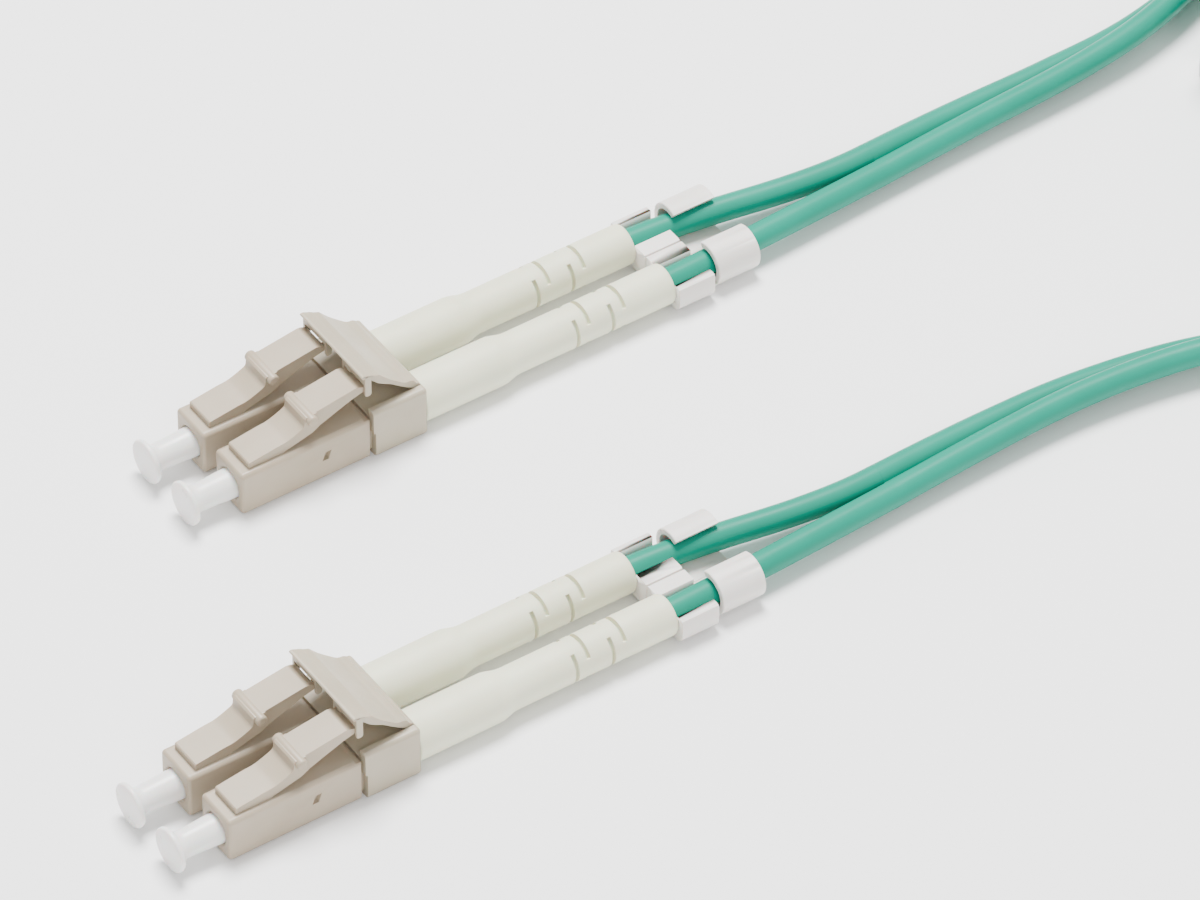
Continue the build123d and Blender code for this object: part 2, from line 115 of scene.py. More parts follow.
def plug_origin(end, plug):
    """Where a plug's ferrule axis meets the front face of its housing."""
    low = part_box(f"housing_{end}{plug}")[0]
    ferrule_low, ferrule_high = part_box(f"ferrule_{end}{plug}")
    axis_y = (ferrule_low[1] + ferrule_high[1]) / 2
    axis_z = (ferrule_low[2] + ferrule_high[2]) / 2
    return Vector((low[0], axis_y, axis_z))


def add_camera():
    target = plug_origin("b", "1") + AIM_OFFSET
    back = Vector((
        math.sin(CAMERA_AZIMUTH) * math.cos(CAMERA_ELEVATION),
        -math.cos(CAMERA_AZIMUTH) * math.cos(CAMERA_ELEVATION),
        math.sin(CAMERA_ELEVATION),
    ))
    bpy.ops.object.camera_add(location=target + back * CAMERA_DISTANCE)
    camera = bpy.context.object
    camera.rotation_euler = back.to_track_quat("Z", "Y").to_euler()
    camera.data.lens = 300
    camera.data.sensor_width = 36
    camera.data.clip_start = 0.01
    camera.data.clip_end = 10
    bpy.context.scene.camera = camera
    return target


AIM = add_camera()
print("camera aims at", [round(v * 1000, 1) for v in AIM])


# %% [markdown]
# A plain pale floor and soft light: a bright even sky does most of it, a broad lamp stands high
# above and behind the plugs, and a weak one on the camera's side lifts the faces towards it.

# %% Floor and light
def add_floor():
    bpy.ops.mesh.primitive_plane_add(size=4, location=(AIM.x, AIM.y, 0))
    floor = settle(bpy.context.object, "floor")
    finish = bpy.data.materials.new("matt white paper sweep")
    finish.use_nodes = True
    shader = finish.node_tree.nodes["Principled BSDF"]
    shader.inputs["Base Color"].default_value = (0.93, 0.93, 0.93, 1)
    shader.inputs["Roughness"].default_value = 0.9
    shader.inputs["Specular IOR Level"].default_value = 0.1
    floor.data.materials.append(finish)


def add_lamp(name, offset, size, power):
    place = AIM + Vector(offset)
    bpy.ops.object.light_add(type="AREA", location=place)
    lamp = bpy.context.object
    lamp.name = name
    lamp.data.shape = "DISK"
    lamp.data.size = size
    lamp.data.energy = power
    lamp.rotation_euler = (place - AIM).to_track_quat("Z", "Y").to_euler()


def add_sky(strength):
    world = bpy.data.worlds.new("even studio sky")
    world.use_nodes = True
    background = world.node_tree.nodes["Background"]
    background.inputs["Color"].default_value = (1, 1, 1, 1)
    background.inputs["Strength"].default_value = strength
    bpy.context.scene.world = world


add_floor()
add_sky(0.95)
add_lamp("top lamp", (0.15, 0.25, 0.9), 0.45, 26)
add_lamp("front lamp", (-0.2, -0.7, 0.6), 0.5, 3)


# %% [markdown]
# ## Finishes
# Colours are written as they look on a screen, in sRGB hex, and one function turns them into
# the linear values that a shader wants. A second small function adds one node, sets it up and
# links it, and every finish below is built with those two.

# %% Colour and node helpers
def linear(hex_colour):
    channels = [int(hex_colour[i:i + 2], 16) / 255 for i in (1, 3, 5)]
    return tuple(
        c / 12.92 if c <= 0.04045 else ((c + 0.055) / 1.055) ** 2.4
        for c in channels
    ) + (1,)


def add_node(tree, kind, settings=None, **links):
    """Adds a node. Settings are its own properties, and links fill its sockets with a value or
    with another node's output. A socket is given by its name, or as i0, i1 by its number."""
    node = tree.nodes.new(kind)
    for key, value in (settings or {}).items():
        setattr(node, key, value)
    for key, value in links.items():
        numbered = key[0] == "i" and key[1:].isdigit()
        socket = node.inputs[int(key[1:]) if numbered else key]
        if isinstance(value, bpy.types.NodeSocket):
            tree.links.new(value, socket)
        else:
            socket.default_value = value
    return node


def new_finish(name, roughness, **sockets):
    """A material with its shader, its tree and the object's own coordinates."""
    finish = bpy.data.materials.new(name)
    finish.use_nodes = True
    tree = finish.node_tree
    shader = tree.nodes["Principled BSDF"]
    shader.inputs["Roughness"].default_value = roughness
    for key, value in sockets.items():
        shader.inputs[key.replace("_", " ")].default_value = value
    place = add_node(tree, "ShaderNodeTexCoord").outputs["Object"]
    return finish, tree, shader, place


def noise(tree, place, size_mm, detail=4.0):
    """A noise whose blotches are about size_mm across."""
    return add_node(tree, "ShaderNodeTexNoise", Vector=place, Scale=1 / (size_mm * MM),
                    Detail=detail).outputs["Fac"]


def spread(tree, value, low, high, low_to, high_to):
    return add_node(tree, "ShaderNodeMapRange", Value=value, **{
        "From Min": low, "From Max": high, "To Min": low_to, "To Max": high_to}).outputs["Result"]


def blend_colours(tree, factor, first, second):
    node = add_node(tree, "ShaderNodeMix", {"data_type": "RGBA"})
    tree.links.new(factor, node.inputs["Factor"])
    node.inputs[6].default_value = first
    node.inputs[7].default_value = second
    return node.outputs[2]


def moulded(name, base, shade, roughness, grain_mm, grain_height, **sockets):
    """Injection-moulded plastic: a slow drift of colour, a fine spark-eroded grain from the
    tool, and a roughness that varies a little."""
    finish, tree, shader, place = new_finish(name, roughness, **sockets)
    drift = spread(tree, noise(tree, place, 6.0), 0.35, 0.65, 0.0, 1.0)
    tree.links.new(blend_colours(tree, drift, linear(base), linear(shade)), shader.inputs["Base Color"])
    gloss = spread(tree, noise(tree, place, 1.6), 0.3, 0.7, roughness - 0.06, roughness + 0.06)
    tree.links.new(gloss, shader.inputs["Roughness"])
    grain = noise(tree, place, grain_mm, 2.0)
    bump = add_node(tree, "ShaderNodeBump", Height=grain, Strength=1.0, Distance=grain_height * MM)
    tree.links.new(bump.outputs["Normal"], shader.inputs["Normal"])
    return finish


# %% [markdown]
# The housings, latches, clips and triggers are PBT or PC in the warm beige that marks a
# multimode plug. Moulded against a lightly eroded tool, it is satin, with soft highlights.

# %% Beige satin PBT
BEIGE = moulded("moulded beige PBT", "#A69884", "#9F917C", 0.42, 0.18, 0.004,
                IOR=1.52, Subsurface_Weight=0.15, Subsurface_Scale=0.0006)
CLIP_BEIGE = moulded("moulded beige PC clip", "#AAA08B", "#A39883", 0.45, 0.2, 0.004,
                     IOR=1.58, Subsurface_Weight=0.15, Subsurface_Scale=0.0006)

# %% [markdown]
# The boots are a soft elastomer, duller than the plugs and a little creamy. The cable holders
# are the same family of plastic but harder and whiter. The dust caps are polyethylene: milky,
# so light goes a little way into them, and smoother than the rest.

# %% White plastics
BOOT_CREAM = moulded("cream TPE", "#DADBC2", "#D5D5BB", 0.55, 0.3, 0.005,
                     IOR=1.5, Subsurface_Weight=0.2, Subsurface_Scale=0.0008)
HOLDER_WHITE = moulded("white moulded nylon", "#DFDBD6", "#DAD5CF", 0.45, 0.2, 0.003,
                       IOR=1.53, Subsurface_Weight=0.2, Subsurface_Scale=0.0006)
CAP_MILK = moulded("milky polyethylene", "#E6E5E2", "#E1E0DC", 0.32, 0.4, 0.002,
                   IOR=1.51, Subsurface_Weight=0.35, Subsurface_Scale=0.001)

# %% [markdown]
# The jacket is an extruded halogen-free compound in aqua. Extrusion leaves it smooth and
# slightly waxy, with very faint lines along its length. The lines follow the cord through the
# strip coordinates that each swept mesh carries.

# %% Aqua extruded jacket
def extruded_jacket():
    finish, tree, shader, place = new_finish("extruded aqua LSZH jacket", 0.38, IOR=1.4,
                                             Specular_IOR_Level=0.25)
    drift = spread(tree, noise(tree, place, 9.0), 0.35, 0.65, 0.0, 1.0)
    colour = blend_colours(tree, drift, linear("#00826C"), linear("#007C66"))
    tree.links.new(colour, shader.inputs["Base Color"])
    strip = add_node(tree, "ShaderNodeTexCoord").outputs["UV"]
    lines = add_node(tree, "ShaderNodeMapping", Vector=strip, Scale=(90, 0.6, 1)).outputs["Vector"]
    streak = add_node(tree, "ShaderNodeTexNoise", Vector=lines, Scale=1.0, Detail=3.0).outputs["Fac"]
    wax = noise(tree, place, 0.35, 2.0)
    both = add_node(tree, "ShaderNodeMath", {"operation": "ADD"}, i0=streak, i1=wax).outputs[0]
    bump = add_node(tree, "ShaderNodeBump", Height=both, Strength=1.0, Distance=0.004 * MM)
    tree.links.new(bump.outputs["Normal"], shader.inputs["Normal"])
    gloss = spread(tree, noise(tree, place, 2.5), 0.3, 0.7, 0.32, 0.44)
    tree.links.new(gloss, shader.inputs["Roughness"])
    return finish


AQUA = extruded_jacket()

# %% [markdown]
# Inside each plug are a polished zirconia ferrule, nickel-plated metal parts and a drawn steel
# spring. They hardly show, but they are seen when a cap comes off or a plug is cut open. Drawn
# and turned metal carries fine lines round its axis, which stretched noise gives.

# %% Ceramic and metals
def turned_metal(name, colour, roughness):
    finish, tree, shader, place = new_finish(name, roughness, Metallic=1.0)
    shader.inputs["Base Color"].default_value = linear(colour)
    lines = add_node(tree, "ShaderNodeMapping", Vector=place, Scale=(9000, 900, 900)).outputs["Vector"]
    marks = add_node(tree, "ShaderNodeTexNoise", Vector=lines, Scale=1.0, Detail=3.0).outputs["Fac"]
    gloss = spread(tree, marks, 0.3, 0.7, roughness - 0.08, roughness + 0.1)
    tree.links.new(gloss, shader.inputs["Roughness"])
    bump = add_node(tree, "ShaderNodeBump", Height=marks, Strength=1.0, Distance=0.001 * MM)
    tree.links.new(bump.outputs["Normal"], shader.inputs["Normal"])
    return finish


ZIRCONIA = moulded("polished zirconia", "#F2EFE8", "#EEEAE2", 0.14, 0.5, 0.0005, IOR=2.1)
NICKEL = turned_metal("nickel-plated brass", "#C9C5BC", 0.3)
SPRING_STEEL = turned_metal("drawn spring steel", "#B9B9BA", 0.34)
CRIMP_ALLOY = turned_metal("drawn aluminium tube", "#D3D2CE", 0.4)
BUFFER = moulded("extruded fibre buffer", "#EDEBDD", "#E6E4D4", 0.35, 0.3, 0.001, IOR=1.5)
TIE_PLASTIC = moulded("twist tie PVC", "#E9E9E7", "#DEDEDC", 0.35, 0.5, 0.004, IOR=1.53)
print("finishes:", len(bpy.data.materials))


# %% [markdown]
# ## The cord
# Two round jackets joined by a thin web make a flat cord, known as zip cord. Near each plug pair the
# web is torn back and each jacket runs alone into its own boot. The rest is wound into a coil. A
# Blender curve with a bevel would give a round tube only, so the line comes from a NURBS spline
# and the section is carried along it, which also lets the flat cord roll onto its edge.

# %% Routes of the cord, in millimetres
def end_origin(end):
    """The middle between an end's two plugs, in millimetres."""
    middle = (plug_origin(end, "1") + plug_origin(end, "2")) / 2 / MM
    return Vector([round(v, 3) for v in middle])


ENDS = {end: end_origin(end) for end in END_NAMES}
LEG_ROUTES = {
    "1": [(23.6, -3.125, 0), (38.0, -3.125, 0), (50.5, -3.125, 0), (70.085, -1.793, -0.2)],
    "2": [
        (23.6, 3.125, 0), (38.0, 3.125, 0), (49.5, 3.125, 0), (65.0, 0.365, -0.15), (69.915, 0.701, -0.2),
    ],
}
CORD_ROUTES = {
    "a": [
        (33.475, -17.746, 2.1), (42.5, -17.13, 2.01), (56.0, -17.0, 1.96), (69.5, -19.6, 2.07),
        (83.0, -27.2, 2.3), (97.0, -33.4, 2.7), (112.0, -34.2, 2.85),
    ],
    "b": [
        (56.775, 16.654, 2.1), (65.8, 17.27, 2.01), (77.0, 17.5, 1.96), (88.0, 18.3, 2.15),
        (99.0, 22.0, 2.6), (112.0, 22.7, 2.85),
    ],
}
JACKET_D = 2.4
LOBE_STEP = 2.5
WEB_HALF = 0.3
BOOT_END = 45.5
COIL_CENTRE = Vector((112.0, -6.5))
COIL_RADIUS = 25.2
LOOSE_STEP = 2.5
OUTER_STEP, TAIL_PULL = 2.25, 0.75
LOWER_LAYER, UPPER_LAYER = 2.85, 7.8
TURNS = 4.5
STEPS_PER_TURN = 12


# %% [markdown]
# The cord lies on its edge in the coil. The lower layer winds inwards and the upper one outwards,
# each turn about one cord thickness from the next. The last third of a turn drops back to the
# floor outside them, where the second end leaves.

# %% Points of the coil
def between(value, low, high, low_to, high_to):
    share = min(max((value - low) / (high - low), 0), 1)
    return low_to + (high_to - low_to) * share


def coil_point(turn):
    inwards = between(turn, 0, 2, COIL_RADIUS + LOOSE_STEP, COIL_RADIUS - LOOSE_STEP)
    outwards = between(turn, 2.1, 4.1, 0, 2 * LOOSE_STEP) + between(turn, 4.05, 4.25, 0, OUTER_STEP)
    radius = inwards + outwards - between(turn, 4.25, TURNS, 0, TAIL_PULL)
    lift = between(turn, 1.95, 2.15, 0, 1) - between(turn, 4.2, TURNS, 0, 1)
    angle = math.radians(-90 + 360 * turn)
    height = LOWER_LAYER + (UPPER_LAYER - LOWER_LAYER) * lift
    x = COIL_CENTRE.x + radius * math.cos(angle)
    y = COIL_CENTRE.y + radius * math.sin(angle)
    return (x, y, height)


coil_points = [coil_point(step / STEPS_PER_TURN) for step in range(1, int(TURNS * STEPS_PER_TURN))]
flat_route = CORD_ROUTES["a"] + coil_points + CORD_ROUTES["b"][::-1]
print("points along the flat cord:", len(flat_route))


# %% [markdown]
# The route's points steer a NURBS spline, and the mesh follows the points read back from it. A
# tube made by hand, ring by ring, is used rather than a curve's own bevel, because the flat cord
# has to roll about its line. Each ring also writes strip coordinates for the jacket's faint lines.

# %% Spline line and swept section
def spline_line(points, fineness):
    """The points of a smooth NURBS spline that has the route's points as its controls."""
    curve = bpy.data.curves.new("route", "CURVE")
    curve.dimensions = "3D"
    curve.resolution_u = fineness
    spline = curve.splines.new("NURBS")
    spline.points.add(len(points) - 1)
    for control, point in zip(spline.points, points):
        control.co = (*(Vector(point) * MM), 1)
    spline.order_u = 3
    spline.use_endpoint_u = True
    holder = bpy.data.objects.new("route", curve)
    bpy.context.scene.collection.objects.link(holder)
    shown = holder.evaluated_get(bpy.context.evaluated_depsgraph_get())
    line_mesh = bpy.data.meshes.new_from_object(shown)
    line = [v.co.copy() for v in line_mesh.vertices]
    bpy.data.objects.remove(holder)
    bpy.data.curves.remove(curve)
    bpy.data.meshes.remove(line_mesh)
    return line


def distances(line):
    along = [0.0]
    for before, after in zip(line, line[1:]):
        along.append(along[-1] + (after - before).length)
    return along


def swept(name, line, section, rolls, finish):
    """A closed tube with that section, in millimetres, rolled about the line by rolls, in degrees."""
    corners, faces, count = [], [], len(section)
    along = distances(line)
    for i, point in enumerate(line):
        heading = (line[min(i + 1, len(line) - 1)] - line[max(i - 1, 0)]).normalized()
        side = Vector((0, 0, 1)).cross(heading).normalized()
        up = heading.cross(side)
        roll = math.radians(rolls[i])
        across = side * math.cos(roll) - up * math.sin(roll)
        over = side * math.sin(roll) + up * math.cos(roll)
        corners += [point + (across * u + over * v) * MM for u, v in section]
    for i in range(len(line) - 1):
        for j in range(count):
            k = (j + 1) % count
            faces.append((i * count + j, i * count + k, (i + 1) * count + k, (i + 1) * count + j))
    faces.append(tuple(range(count))[::-1])
    faces.append(tuple(range(len(corners) - count, len(corners))))
    mesh = bpy.data.meshes.new(name)
    mesh.from_pydata(corners, [], faces)
    strip = mesh.uv_layers.new(name="strip")
    for face in mesh.polygons[:-2]:
        ring, step = divmod(face.index, count)
        for loop, (di, dj) in zip(face.loop_indices, ((0, 0), (0, 1), (1, 1), (1, 0))):
            strip.data[loop].uv = ((step + dj) / count, along[ring + di] / MM)
    piece = bpy.data.objects.new(name, mesh)
    bpy.context.scene.collection.objects.link(piece)
    mesh.materials.append(finish)
    only(piece)
    bpy.ops.object.shade_smooth_by_angle(angle=math.radians(50))
    return piece


# %% [markdown]
# Each jacket is round. The flat cord's section is two rounds with the web between them, drawn as
# two arcs that stop where the web meets them.

# %% Sections
def arc(centre, radius, start, stop, steps):
    return [
        (centre + radius * math.cos(math.radians(start + (stop - start) * i / steps)),
         radius * math.sin(math.radians(start + (stop - start) * i / steps)))
        for i in range(steps + 1)
    ]


web_angle = math.degrees(math.asin(WEB_HALF / (JACKET_D / 2)))
ROUND_SECTION = arc(0, JACKET_D / 2, 0, 348, 29)
FLAT_SECTION = (
    arc(LOBE_STEP / 2, JACKET_D / 2, web_angle - 180, 180 - web_angle, 20)
    + arc(-LOBE_STEP / 2, JACKET_D / 2, web_angle, 360 - web_angle, 20)
)


# %% [markdown]
# Past the tear, each jacket runs alone into its own boot. A leg is one round tube on its own short
# route, from inside the boot to the place where the web begins.

# %% Legs
def add_leg(end, plug):
    origin = ENDS[end]
    line = spline_line([origin + Vector(p) for p in LEG_ROUTES[plug]], 16)
    leg = swept(f"jacket_leg_{end}{plug}", line, ROUND_SECTION, [0] * len(line), AQUA)
    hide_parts(f"cable_leg_{end}{plug}")
    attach(leg, "cord_and_plugs")
    return distances(line)[-1]


for end in END_NAMES:
    for plug in PLUG_SIDES:
        print("leg", end, plug, "is", round(add_leg(end, plug) / MM, 1), "mm")


# %% [markdown]
# The flat cord leaves each pair of legs lying flat and is on its edge by the time it reaches the
# coil. It tips a little over the first stretch and the rest of the way over a longer one, at both
# of its ends. It has turned over once by its far end, a half twist that the coil takes up.

# %% Flat cord
TIP_RUN, TIP_ANGLE, EDGE_ANGLE = 22, 28, 62
ROLL_RUN_A, ROLL_RUN_B = 78, 54


def add_flat_cord():
    line = spline_line(flat_route, 12)
    along = [d / MM for d in distances(line)]
    total = along[-1]
    rolls = []
    for d in along:
        left = total - d
        rise = between(d, 0, TIP_RUN, 0, TIP_ANGLE) + between(d, TIP_RUN, ROLL_RUN_A, 0, EDGE_ANGLE)
        fall = between(left, 0, TIP_RUN, 0, TIP_ANGLE) + between(left, TIP_RUN, ROLL_RUN_B, 0, EDGE_ANGLE)
        rolls.append(rise + 90 - fall)
    flat = swept("flat_zip_cord", line, FLAT_SECTION, rolls, AQUA)
    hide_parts("flat_cord_a", "coil", "flat_cord_b")
    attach(flat, "cord_and_plugs")
    return total


print("flat cord is", round(add_flat_cord(), 1), "mm")


# %% [markdown]
# ## Shaping helpers
# Most pieces of a plug are prisms with a drawn side view, or turned shapes. Both start as one
# corner that is extruded along the outline. A prism's outline is then filled and extruded to
# its width, and a turned shape's half section is spun about the plug's axis.

# %% Outline, prism and turned shape
def outline(name, points):
    """A chain of edges in the XZ plane through the points, in millimetres."""
    bpy.ops.mesh.primitive_plane_add(size=MM, location=Vector((points[0][0], 0, points[0][1])) * MM)
    piece = settle(bpy.context.object, name)
    bpy.ops.object.mode_set(mode="EDIT")
    bpy.ops.mesh.select_all(action="SELECT")
    bpy.ops.mesh.merge(type="CENTER")
    for (x0, z0), (x1, z1) in zip(points, points[1:]):
        step = ((x1 - x0) * MM, 0, (z1 - z0) * MM)
        bpy.ops.mesh.extrude_region_move(TRANSFORM_OT_translate={"value": step})
    return piece


def prism(name, points, low_y, high_y):
    """A closed side view given its width from low_y to high_y."""
    piece = outline(name, points)
    bpy.ops.mesh.select_all(action="SELECT")
    bpy.ops.mesh.edge_face_add()
    bpy.ops.transform.translate(value=(0, low_y * MM, 0))
    bpy.ops.mesh.extrude_region_move(TRANSFORM_OT_translate={"value": (0, (high_y - low_y) * MM, 0)})
    bpy.ops.object.mode_set(mode="OBJECT")
    return tidy_mesh(piece)


def turned(name, points, steps=64, sweep=360, start=0):
    """A half section, as (x, radius), spun about the plug's axis. Part turns are for cutters."""
    closed = sweep < 360 or points[0][1] > 0
    piece = outline(name, points + [points[0]] if closed else points)
    bpy.ops.mesh.select_all(action="SELECT")
    if start:
        bpy.ops.transform.rotate(value=math.radians(start), orient_axis="X",
                                 center_override=(0, 0, 0))
    if sweep < 360:
        bpy.ops.mesh.remove_doubles(threshold=DOUBLED)
        bpy.ops.mesh.edge_face_add()
    bpy.ops.mesh.spin(steps=steps, angle=math.radians(sweep), center=(0, 0, 0), axis=(1, 0, 0))
    bpy.ops.object.mode_set(mode="OBJECT")
    return tidy_mesh(piece)


def block(name, x0, x1, y0, y1, z0, z1):
    """A box between two corners, to be bevelled and cut."""
    middle = Vector((x0 + x1, y0 + y1, z0 + z1)) / 2 * MM
    size = Vector((x1 - x0, y1 - y0, z1 - z0)) * MM
    bpy.ops.mesh.primitive_cube_add(size=1, location=middle, scale=size)
    return settle(bpy.context.object, name)


def rod(name, radius, x0, x1):
    return turned(name, [(x0, 0), (x0, radius), (x1, radius), (x1, 0)], 48)


def cross_rod(name, radius, x, z, half, edge=0.0):
    """A rod along Y, with its two rims rounded by edge."""
    bpy.ops.mesh.primitive_cylinder_add(vertices=32, radius=radius * MM, depth=2 * half * MM,
                                        location=(x * MM, 0, z * MM), rotation=(math.pi / 2, 0, 0))
    piece = settle(bpy.context.object, name)
    if edge:
        round_edges(piece, edge, 3, lambda a, b: abs(a.y - b.y) < LEVEL)
    return piece


# %% [markdown]
# Moulded parts have no sharp edges. Edges that are wanted larger are picked by where they are
# and bevelled in edit mode. A Bevel modifier then takes a little off every other edge.

# %% Edge, solid and copy helpers
def round_edges(piece, width, segments, wanted):
    """Bevels the edges whose two ends, in metres, satisfy wanted."""
    only(piece)
    corners = piece.data.vertices
    chosen = [e.index for e in piece.data.edges if wanted(*[corners[v].co for v in e.vertices])]
    bpy.ops.object.mode_set(mode="EDIT")
    bpy.ops.mesh.select_mode(type="EDGE")
    bpy.ops.mesh.select_all(action="DESELECT")
    bpy.ops.object.mode_set(mode="OBJECT")
    for index in chosen:
        piece.data.edges[index].select = True
    bpy.ops.object.mode_set(mode="EDIT")
    bpy.ops.mesh.bevel(offset=width * MM, segments=segments, affect="EDGES")
    bpy.ops.mesh.select_mode(type="VERT")
    bpy.ops.object.mode_set(mode="OBJECT")
    return piece


def along_x(a, b):
    return abs(a.y - b.y) < LEVEL and abs(a.z - b.z) < LEVEL


def soften(piece, width, segments=2, angle=35, smooth=40):
    """Rounds every edge sharper than the angle, and shades the rest smooth."""
    only(piece)
    edges = piece.modifiers.new("edges", "BEVEL")
    edges.width = width * MM
    edges.segments = segments
    edges.limit_method = "ANGLE"
    edges.angle_limit = math.radians(angle)
    bpy.ops.object.modifier_apply(modifier=edges.name)
    bpy.ops.object.shade_smooth_by_angle(angle=math.radians(smooth))
    flats = piece.modifiers.new("flats", "WEIGHTED_NORMAL")
    flats.keep_sharp = True
    bpy.ops.object.modifier_apply(modifier=flats.name)
    return piece


def combine(piece, operation, *others):
    """Adds the others to the piece, or cuts them out, and removes them."""
    for other in others:
        only(piece)
        solid = piece.modifiers.new("solid", "BOOLEAN")
        solid.operation = operation
        solid.solver = "EXACT"
        solid.object = other
        bpy.ops.object.modifier_apply(modifier=solid.name)
        bpy.data.objects.remove(other)
    return tidy_mesh(piece)


def cut(piece, *others):
    return combine(piece, "DIFFERENCE", *others)


def weld(piece, *others):
    return combine(piece, "UNION", *others)


def copy_at(piece, name, place, mirrored=False):
    """A copy with its own mesh, moved by place in millimetres, mirrored from +Y to -Y if asked."""
    copy = piece.copy()
    copy.data = piece.data.copy()
    bpy.context.scene.collection.objects.link(copy)
    only(copy)
    if mirrored:
        copy.scale.y = -1
        bpy.ops.object.transform_apply(location=False, rotation=False, scale=True)
        bpy.ops.object.mode_set(mode="EDIT")
        bpy.ops.mesh.select_all(action="SELECT")
        bpy.ops.mesh.normals_make_consistent(inside=False)
        bpy.ops.object.mode_set(mode="OBJECT")
    copy.location = Vector(place) * MM
    return settle(copy, name)


# %% [markdown]
# Four plugs and two ends are the same, so each piece is modelled once about its own plug's axis.
# Copies go to every plug or end and keep the model's finish. Each hides the node that it stands
# for and is attached to its body where one is given. The model that they were made from is removed.

# %% Placing copies
def place_on_plugs(model, title, node, body, handed=False):
    """Puts a copy on each plug, with its body if one is given, and hides the node that it replaces.
    A handed piece is modelled for the plug at +Y and mirrored for the other."""
    made = []
    for end in END_NAMES:
        for plug, side in PLUG_SIDES.items():
            place = ENDS[end] + Vector((0, side * HALF_PITCH, 0))
            copy = copy_at(model, f"{title}_{end}{plug}", place, handed and side < 0)
            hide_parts(f"{node}_{end}{plug}")
            if body:
                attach(copy, body.format(end + plug))
            made.append(copy)
    bpy.data.objects.remove(model)
    print(title, "faces:", len(made[0].data.polygons))
    return made


def place_on_ends(model, title, node, body):
    for end in END_NAMES:
        copy = copy_at(model, f"{title}_{end}", ENDS[end])
        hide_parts(f"{node}_{end}")
        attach(copy, body.format(end))
    print(title, "faces:", len(model.data.polygons))
    bpy.data.objects.remove(model)


# %% [markdown]
# ## Dust caps
# A dust cap is a thin turned piece of polyethylene: a round flange to pull it by, a cove, and a
# barrel that slips over the ferrule. A half section spun once round gives all of it, bore and all.

# %% Dust caps
FLANGE_R, COVE_LENGTH, COVE_DEPTH = 2.02, 0.95, 0.77


def dust_cap_section():
    front, rear = -4.65, -4.2
    lip = [(front, 1.93), (front + 0.03, 2.0), (front + 0.1, 2.055), (front + 0.2, 2.075),
           (front + 0.33, 2.06)]
    cove = []
    for step in range(0, 91, 10):
        a = math.radians(step)
        cove.append((rear + COVE_LENGTH * (1 - math.cos(a)), FLANGE_R - COVE_DEPTH * math.sin(a)))
    barrel = [(-2.6, 1.27), (-1.6, 1.31), (-0.6, 1.37), (0.3, 1.4), (1.78, 1.4), (1.9, 1.3)]
    bore = [(1.9, 0.78), (1.8, 0.68), (-2.55, 0.68), (-2.6, 0.63), (-2.6, 0)]
    return [(front, 0), (front, 1.0)] + lip + cove + barrel + bore


cap = turned("cap", dust_cap_section(), 72)
only(cap)
bpy.ops.object.shade_smooth_by_angle(angle=math.radians(40))
cap.data.materials.append(CAP_MILK)
place_on_plugs(cap, "pull_off_dust_cap", "dust_cap", "dust_cap_{}")


# %% [markdown]
# ## Housings
# The housing is a small box with well-rounded edges. Its mouth takes the cap's barrel and the
# ferrule, and behind that a wider bore holds the hub and its spring. Both are cut with one
# turned cutter. A small leaning window is sunk into the outer wall.

# %% Housings
HOUSING_LENGTH, HOUSING_HALF = 13.05, 2.21
HOUSING_BOTTOM, HOUSING_TOP = -2.2, 2.35
SIDE_ROUND, FRONT_ROUND = 0.45, 0.32
WINDOW_DEPTH = 0.45


def housing():
    body = block("body", 0, HOUSING_LENGTH, -HOUSING_HALF, HOUSING_HALF, HOUSING_BOTTOM, HOUSING_TOP)
    round_edges(body, SIDE_ROUND, 5, along_x)
    round_edges(body, FRONT_ROUND, 4, lambda a, b: max(a.x, b.x) < LEVEL)
    bore = turned("bore", [
        (-1, 1.6), (0.02, 1.6), (0.17, 1.45), (2.2, 1.45), (2.2, 0.71), (2.8, 0.71),
        (2.8, 1.5), (14, 1.5), (14, 0.2), (-1, 0.2),
    ], 48)
    core = rod("core", 0.3, -1, 14)
    window = prism("window", [(8.2, -0.05), (8.85, -0.05), (9.15, 0.85), (8.5, 0.85)],
                   HOUSING_HALF - WINDOW_DEPTH, HOUSING_HALF + 1)
    rear_step = block("step", 12.6, 14, -3, 3, 2.2, 3)
    cut(body, bore, core, window, rear_step)
    return soften(body, 0.05, 2, 50)


box_model = housing()
box_model.data.materials.append(BEIGE)
place_on_plugs(box_model, "plug_housing", "housing", "cord_and_plugs", handed=True)


# %% [markdown]
# ## Latches
# The latch is one moulding with the housing. A pad rises from the top, turns into a ramp, and
# then a springy arm runs back over the housing with an ear on each side that catches in the
# socket. The real arm flexes at a thin spot behind the pad; here each latch is one rigid piece
# with no body of its own.

# %% Latches
PAD_HALF, ARM_HALF, EAR_HALF = 1.6, 1.5, 2.1


